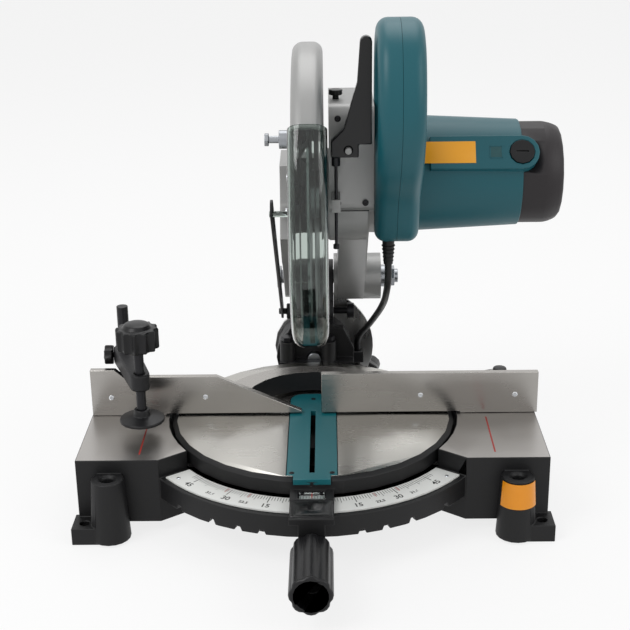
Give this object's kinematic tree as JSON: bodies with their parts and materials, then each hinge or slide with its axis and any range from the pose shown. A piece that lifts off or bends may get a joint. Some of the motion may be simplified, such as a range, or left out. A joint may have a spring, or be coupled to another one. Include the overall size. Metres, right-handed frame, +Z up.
{
  "type": "mitre saw",
  "caption": "Compound mitre saw with a cast base, turntable, guide fence, vise, tilting arm and a chopping head with a blade guard, motor, D-handle and lead.",
  "frame": {"origin": "centre of the hub's underside on the turntable's axis, in the plane of the feet", "axes": "+X to the operator's right, +Y away from the operator through the fence, +Z up the turntable's axis"},
  "size_m": [0.4943, 0.5415, 0.503],
  "materials": {
    "black": "textured",
    "cast": "cast, painted silver",
    "clear": "clear plastic",
    "coating": "black crackle coat",
    "copper": "wound and varnished",
    "dark": "black oxide",
    "machined": "machined",
    "rubber": "matt",
    "smoke": "smoked clear plastic",
    "steel": "bright",
    "teal": "textured",
    "white": "satin"
  },
  "bodies": {
    "base": {"base_casting": "coating", "mitre_scale": "white", "guide_fence": "machined", "cord_coil": "rubber", "plug": "rubber"},
    "turntable": {"turntable": "machined", "centre_bolt": "steel", "kerf_board": "teal", "pointer_lens": "clear", "bevel_bolt": "steel", "bevel_stop_left": "dark", "bevel_stop_right": "dark", "cord_tail": "rubber"},
    "detent": {"thumb_lever": "black"},
    "lock_grip": {"mitre_grip": "black", "lock_rod": "steel"},
    "arm": {"bevel_arm": "coating", "bevel_scale": "machined", "pivot_shaft": "steel", "pivot_nut": "steel", "return_spring": "dark"},
    "bevel_lever": {"bevel_lock_lever": "black"},
    "stopper": {"stopper_pin": "dark"},
    "link": {"guard_link": "dark"},
    "head": {"blade_case": "cast", "centre_cover": "dark", "gear_housing": "cast", "stator": "dark", "motor_housing": "teal", "motor_end_cap": "black", "brush_cap_front": "black", "brush_cap_rear": "black", "handle_left": "teal", "handle_right": "teal", "dust_nozzle": "rubber", "cord_gland": "rubber", "cord_head": "rubber"},
    "guard": {"lower_guard": "smoke", "guard_boss": "steel"},
    "rotor": {"rotor_shaft": "steel", "rotor_core": "copper", "cooling_fan": "black"},
    "blade": {"saw_blade": "steel", "outer_flange": "dark", "arbor_bolt": "dark", "spindle": "steel", "spindle_gear": "steel"},
    "switch": {"trigger": "black"},
    "safety": {"safety_lever": "black"},
    "release": {"lever_rod": "dark"},
    "arbor_lock": {"shaft_lock": "black"},
    "vise_post": {"vise_rod": "steel"},
    "post_screw": {"vise_rod_screw": "dark"},
    "vise_body": {"vise_arm": "coating"},
    "arm_screw": {"vise_arm_screw": "dark"},
    "jaw": {"vise_pad": "dark"},
    "vise_spindle": {"vise_screw": "dark", "vise_knob": "black"}
  },
  "joints": [
    {"name": "mitre_turn", "type": "hinge", "parent": "base", "child": "turntable", "pos_m": [0, 0, 0.08], "axis": [0, 0, 1], "range_deg": [-45, 45], "deforming": ["cord_tail"]},
    {"name": "bevel_tilt", "type": "hinge", "parent": "turntable", "child": "arm", "pos_m": [0, 0.17, 0.08], "axis": [0, 1, 0], "range_deg": [-45, 0]},
    {"name": "head_chop", "type": "hinge", "parent": "arm", "child": "head", "pos_m": [0.001, 0.185, 0.171], "axis": [1, 0, 0], "range_deg": [0, 33.8], "stiffness_Nm_per_rad": 26, "springref_deg": -40.11, "deforming": ["cord_head", "cord_gland"]},
    {"name": "guard_open", "type": "hinge", "parent": "head", "child": "guard", "pos_m": [0, -0.007, 0.322], "axis": [-1, 0, 0], "range_deg": [0, 125]},
    {"name": "guard_link_swing", "type": "hinge", "parent": "arm", "child": "link", "pos_m": [-0.036, 0.158, 0.138], "axis": [1, 0, 0], "range_deg": [0, 16.6]},
    {"name": "rotor_spin", "type": "hinge", "parent": "head", "child": "rotor", "pos_m": [0.16, 0.03085, 0.33285], "axis": [1, 0, 0], "continuous": true},
    {"name": "blade_spin", "type": "hinge", "parent": "head", "child": "blade", "pos_m": [0, -0.007, 0.322], "axis": [1, 0, 0], "continuous": true},
    {"name": "trigger_pull", "type": "slide", "parent": "head", "child": "switch", "axis": [0, -1, 0], "range_m": [0, 0.005], "stiffness_N_per_m": 600, "springref_m": -0.003},
    {"name": "safety_press", "type": "hinge", "parent": "head", "child": "safety", "pos_m": [0.037, -0.084, 0.385], "axis": [0, -1, 0], "range_deg": [0, 10], "stiffness_Nm_per_rad": 0.6, "springref_deg": -11.46},
    {"name": "release_push", "type": "slide", "parent": "head", "child": "release", "axis": [0, 0, -1], "range_m": [0, 0.0028]},
    {"name": "arbor_lock_press", "type": "slide", "parent": "head", "child": "arbor_lock", "axis": [0, 0, -1], "range_m": [0, 0.0035], "stiffness_N_per_m": 600, "springref_m": -0.003},
    {"name": "detent_lift", "type": "hinge", "parent": "turntable", "child": "detent", "pos_m": [0, -0.2, 0.0678], "axis": [1, 0, 0], "range_deg": [0, 8], "stiffness_Nm_per_rad": 0.8, "springref_deg": -11.46},
    {"name": "grip_turn", "type": "hinge", "parent": "turntable", "child": "lock_grip", "pos_m": [0, -0.24, 0.04], "axis": [0, 1, 0], "range_deg": [-180, 180]},
    {"name": "bevel_lock_turn", "type": "hinge", "parent": "turntable", "child": "bevel_lever", "pos_m": [0, 0.206, 0.08], "axis": [0, -1, 0], "range_deg": [0, 45]},
    {"name": "stopper_slide", "type": "slide", "parent": "arm", "child": "stopper", "axis": [1, 0, 0], "range_m": [0, 0.012]},
    {"name": "post_swing", "type": "hinge", "parent": "base", "child": "vise_post", "pos_m": [-0.198, 0.021, 0.09], "axis": [0, 0, 1], "range_deg": [-35, 25]},
    {"name": "vise_height", "type": "slide", "parent": "vise_post", "child": "vise_body", "axis": [0, 0, 1], "range_m": [0, 0.035]},
    {"name": "jaw_feed", "type": "slide", "parent": "vise_body", "child": "jaw", "axis": [0, 0, -1], "range_m": [0, 0.017]},
    {"name": "spindle_turn", "type": "hinge", "parent": "jaw", "child": "vise_spindle", "pos_m": [-0.173, -0.05, 0.14], "axis": [0, 0, -1], "range_deg": [0, 3240]},
    {"name": "post_screw_turn", "type": "hinge", "parent": "base", "child": "post_screw", "pos_m": [-0.198, 0.036, 0.1025], "axis": [0, 1, 0], "range_deg": [-180, 180]},
    {"name": "arm_screw_turn", "type": "hinge", "parent": "vise_body", "child": "arm_screw", "pos_m": [-0.212, 0.021, 0.1415], "axis": [1, 0, 0], "range_deg": [-180, 180]}
  ],
  "couplings": [
    {"joint": "guard_open", "follows": "head_chop", "ratio": 3.698},
    {"joint": "guard_link_swing", "follows": "head_chop", "ratio": 0.49},
    {"joint": "blade_spin", "follows": "rotor_spin", "ratio": -0.21622},
    {"joint": "release_push", "follows": "safety_press", "m_per_rad": 0.015},
    {"joint": "spindle_turn", "follows": "jaw_feed", "rad_per_m": 3141.6}
  ]
}
